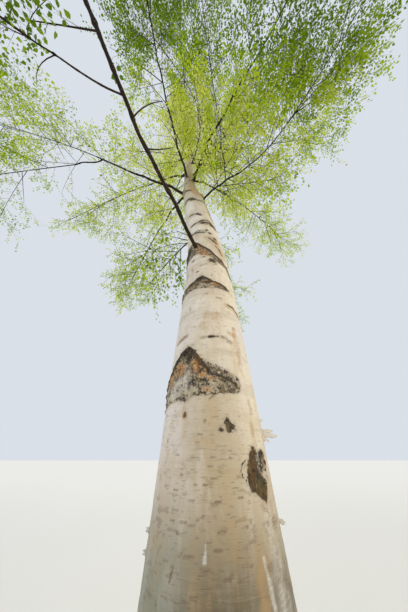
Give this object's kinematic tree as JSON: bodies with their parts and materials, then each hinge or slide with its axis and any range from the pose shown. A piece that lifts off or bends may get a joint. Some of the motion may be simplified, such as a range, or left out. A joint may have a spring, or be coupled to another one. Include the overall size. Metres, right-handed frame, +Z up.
{
  "type": "silver birch tree, whole, in early spring",
  "caption": "Tall slim birch with a leaning white trunk that flares at the ground, dark rising boughs and airy masses of small fresh leaves.",
  "frame": {"origin": "centre of the flat cut under the trunk, at ground level", "axes": "+Z straight up, -Y towards the viewer of the picture, +X to the picture's right"},
  "size_m": [6.5562, 6.668, 13.344],
  "materials": {
    "white_bark": "smooth peeling white bark with dark scars",
    "dark_bark": "thin dark purple-brown bark",
    "young_leaves": "thin satin leaves on fine brown twigs"
  },
  "bodies": {
    "root": {"trunk": "white_bark", "back_bough": "dark_bark", "back_left_bough": "dark_bark", "back_right_bough": "dark_bark", "front_bough": "dark_bark", "front_right_bough": "dark_bark", "high_front_bough": "dark_bark", "left_back_bough": "dark_bark", "left_bough": "dark_bark", "left_outer_bough": "dark_bark", "low_front_bough": "dark_bark", "low_left_bough": "dark_bark", "right_bough": "dark_bark", "right_upright_bough": "dark_bark", "spiral_bough_1": "dark_bark", "spiral_bough_2": "dark_bark", "spiral_bough_3": "dark_bark", "spiral_bough_4": "dark_bark", "spiral_bough_5": "dark_bark", "spiral_bough_6": "dark_bark", "spiral_bough_7": "dark_bark", "spiral_bough_8": "dark_bark", "spiral_bough_9": "dark_bark", "back_foliage": "young_leaves", "back_left_foliage": "young_leaves", "back_right_foliage": "young_leaves", "front_foliage": "young_leaves", "front_right_foliage": "young_leaves", "high_front_foliage": "young_leaves", "inner_foliage_1": "young_leaves", "inner_foliage_2": "young_leaves", "inner_foliage_3": "young_leaves", "inner_foliage_4": "young_leaves", "inner_foliage_5": "young_leaves", "inner_foliage_6": "young_leaves", "inner_foliage_7": "young_leaves", "inner_foliage_8": "young_leaves", "left_back_foliage": "young_leaves", "left_foliage": "young_leaves", "left_outer_foliage": "young_leaves", "low_front_foliage": "young_leaves", "low_left_foliage": "young_leaves", "low_twig_foliage": "young_leaves", "right_foliage": "young_leaves", "right_upright_foliage": "young_leaves", "spiral_foliage_1": "young_leaves", "spiral_foliage_2": "young_leaves", "spiral_foliage_3": "young_leaves", "spiral_foliage_4": "young_leaves", "spiral_foliage_5": "young_leaves", "spiral_foliage_6": "young_leaves", "spiral_foliage_7": "young_leaves", "spiral_foliage_8": "young_leaves", "spiral_foliage_9": "young_leaves", "top_foliage": "young_leaves"}
  },
  "joints": []
}
